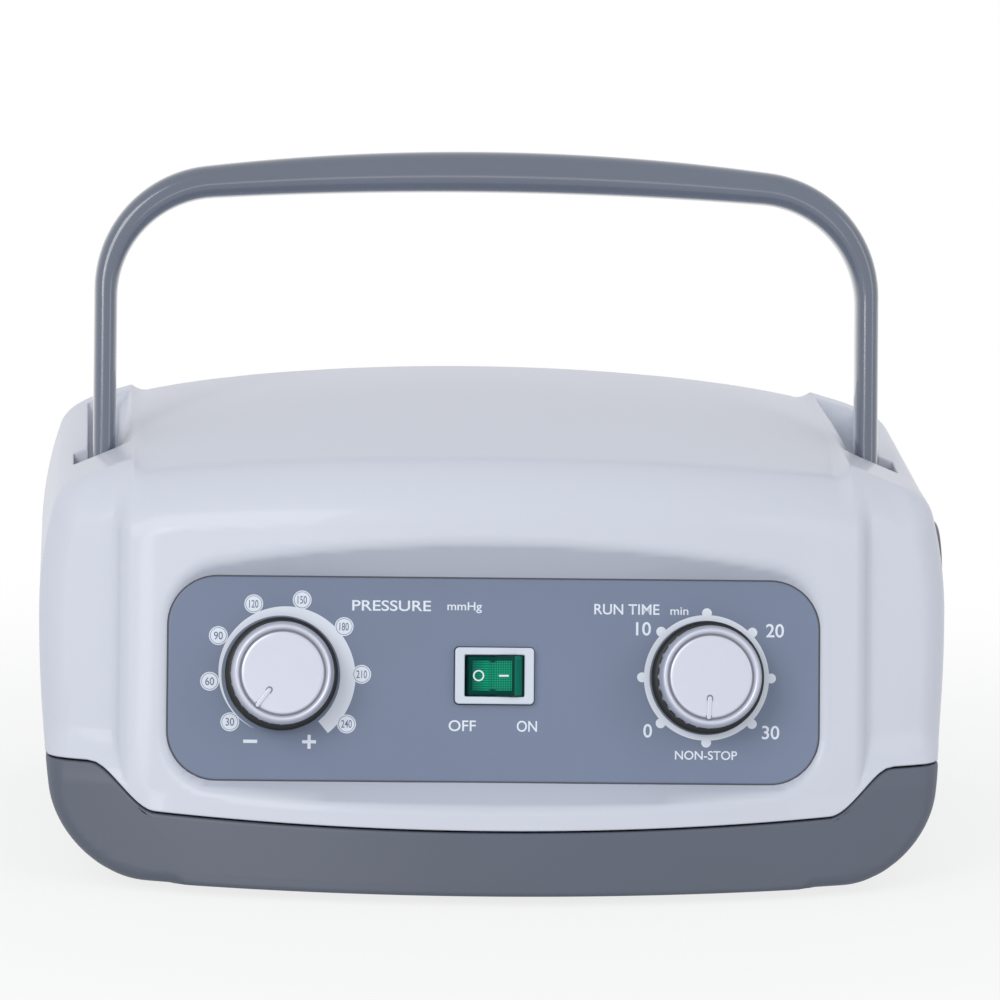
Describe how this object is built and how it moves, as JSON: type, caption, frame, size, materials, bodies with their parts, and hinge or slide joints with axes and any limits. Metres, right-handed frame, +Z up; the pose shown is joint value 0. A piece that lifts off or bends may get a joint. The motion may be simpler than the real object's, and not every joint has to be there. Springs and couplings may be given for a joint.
{
  "type": "compression therapy pump",
  "caption": "Table-top compression therapy pump: white shell on a grey tray, leaning front with two dials and a lit rocker switch, folding bail handle and four air outlets on its side.",
  "frame": {"origin": "on the table under the middle of the body, at the feet's undersides", "axes": "+X to the object's right seen from the front, -Y towards the user at the front, +Z up"},
  "size_m": [0.2479, 0.183, 0.1869],
  "materials": {
    "housing_white": "gloss, white with a faint lavender cast",
    "tray_grey": "satin, fine grain",
    "panel_slate": "satin, printed scales",
    "skirt_black": "satin, fluted",
    "cap_silver": "satin, spun",
    "steel": "plain",
    "brass": "plain",
    "bezel_white": "semi-gloss",
    "rocker_green": "translucent, dotted lens",
    "lamp_glass": "clear",
    "handle_slate": "gloss",
    "collar_grey": "satin",
    "hose_clear": "soft, clear",
    "nylon_white": "satin",
    "rubber_black": "matt",
    "cast_grey": "cast",
    "copper": "taped copper winding",
    "lamination": "stacked sheet",
    "black_plastic": "satin",
    "board_green": "solder mask",
    "component_dark": "satin",
    "terminal_green": "satin",
    "wire_blue": "insulated wire",
    "foam_grey": "open foam"
  },
  "bodies": {
    "pump_body": {"upper_housing": "housing_white", "lower_housing": "tray_grey", "control_panel": "panel_slate", "pressure_regulator": "brass", "timer_unit": "nylon_white", "spindle_nuts": "steel", "switch_frame": "bezel_white", "switch_lamp": "lamp_glass", "switch_terminals": "brass", "handle_pivot_pins": "steel", "handle_friction_washers": "steel", "handle_spacers": "nylon_white", "outlet_collar": "collar_grey", "outlet_manifold": "nylon_white", "outlet_hoses": "hose_clear", "supply_hose": "hose_clear", "regulator_hose": "hose_clear", "compressor_frame": "cast_grey", "compressor_coils": "copper", "compressor_cores": "lamination", "diaphragms": "rubber_black", "compressor_heads": "black_plastic", "head_screws": "steel", "compressor_mounts": "rubber_black", "valve_motor": "steel", "valve_body": "nylon_white", "valve_cover": "nylon_white", "valve_screws": "steel", "power_inlet": "black_plastic", "inlet_pins": "brass", "inlet_screws": "steel", "circuit_board": "board_green", "board_transformer": "component_dark", "board_capacitors": "component_dark", "board_relay": "component_dark", "board_fuse": "lamp_glass", "board_terminals": "terminal_green", "board_screws": "steel", "wire_harness": "wire_blue", "filter_cover": "housing_white", "intake_filter": "foam_grey", "rubber_feet": "rubber_black", "housing_screws": "steel"},
    "handle_bail": {"handle": "handle_slate"},
    "pressure_dial": {"pressure_dial_skirt": "skirt_black", "pressure_dial_cap": "cap_silver", "pressure_spindle": "steel"},
    "timer_dial": {"timer_dial_skirt": "skirt_black", "timer_dial_cap": "cap_silver", "timer_spindle": "steel"},
    "rocker": {"switch_rocker": "rocker_green"},
    "armature": {"compressor_armature": "steel"},
    "rotor": {"valve_rotor": "nylon_white"}
  },
  "joints": [
    {"name": "handle_fold", "type": "hinge", "parent": "pump_body", "child": "handle_bail", "pos_m": [0, -0.008, 0.082], "axis": [-1, 0, 0], "range_deg": [0, 52]},
    {"name": "pressure_dial_turn", "type": "hinge", "parent": "pump_body", "child": "pressure_dial", "pos_m": [-0.05655, -0.06411, 0.0569], "axis": [0, 0.9755, -0.2198], "range_deg": [0, 270]},
    {"name": "timer_dial_turn", "type": "hinge", "parent": "pump_body", "child": "timer_dial", "pos_m": [0.05655, -0.06411, 0.0569], "axis": [0, 0.9755, -0.2198], "range_deg": [0, 315]},
    {"name": "rocker_tilt", "type": "hinge", "parent": "pump_body", "child": "rocker", "pos_m": [0, -0.06313, 0.05668], "axis": [0, 0.2198, 0.9755], "range_deg": [0, 20]},
    {"name": "armature_slide", "type": "slide", "parent": "pump_body", "child": "armature", "axis": [1, 0, 0], "range_m": [-0.0015, 0.0015], "stiffness_N_per_m": 3000, "deforming": ["diaphragms"]},
    {"name": "valve_spin", "type": "hinge", "parent": "pump_body", "child": "rotor", "pos_m": [0.062, 0.004, 0.03], "axis": [0, 0, 1], "continuous": true}
  ]
}
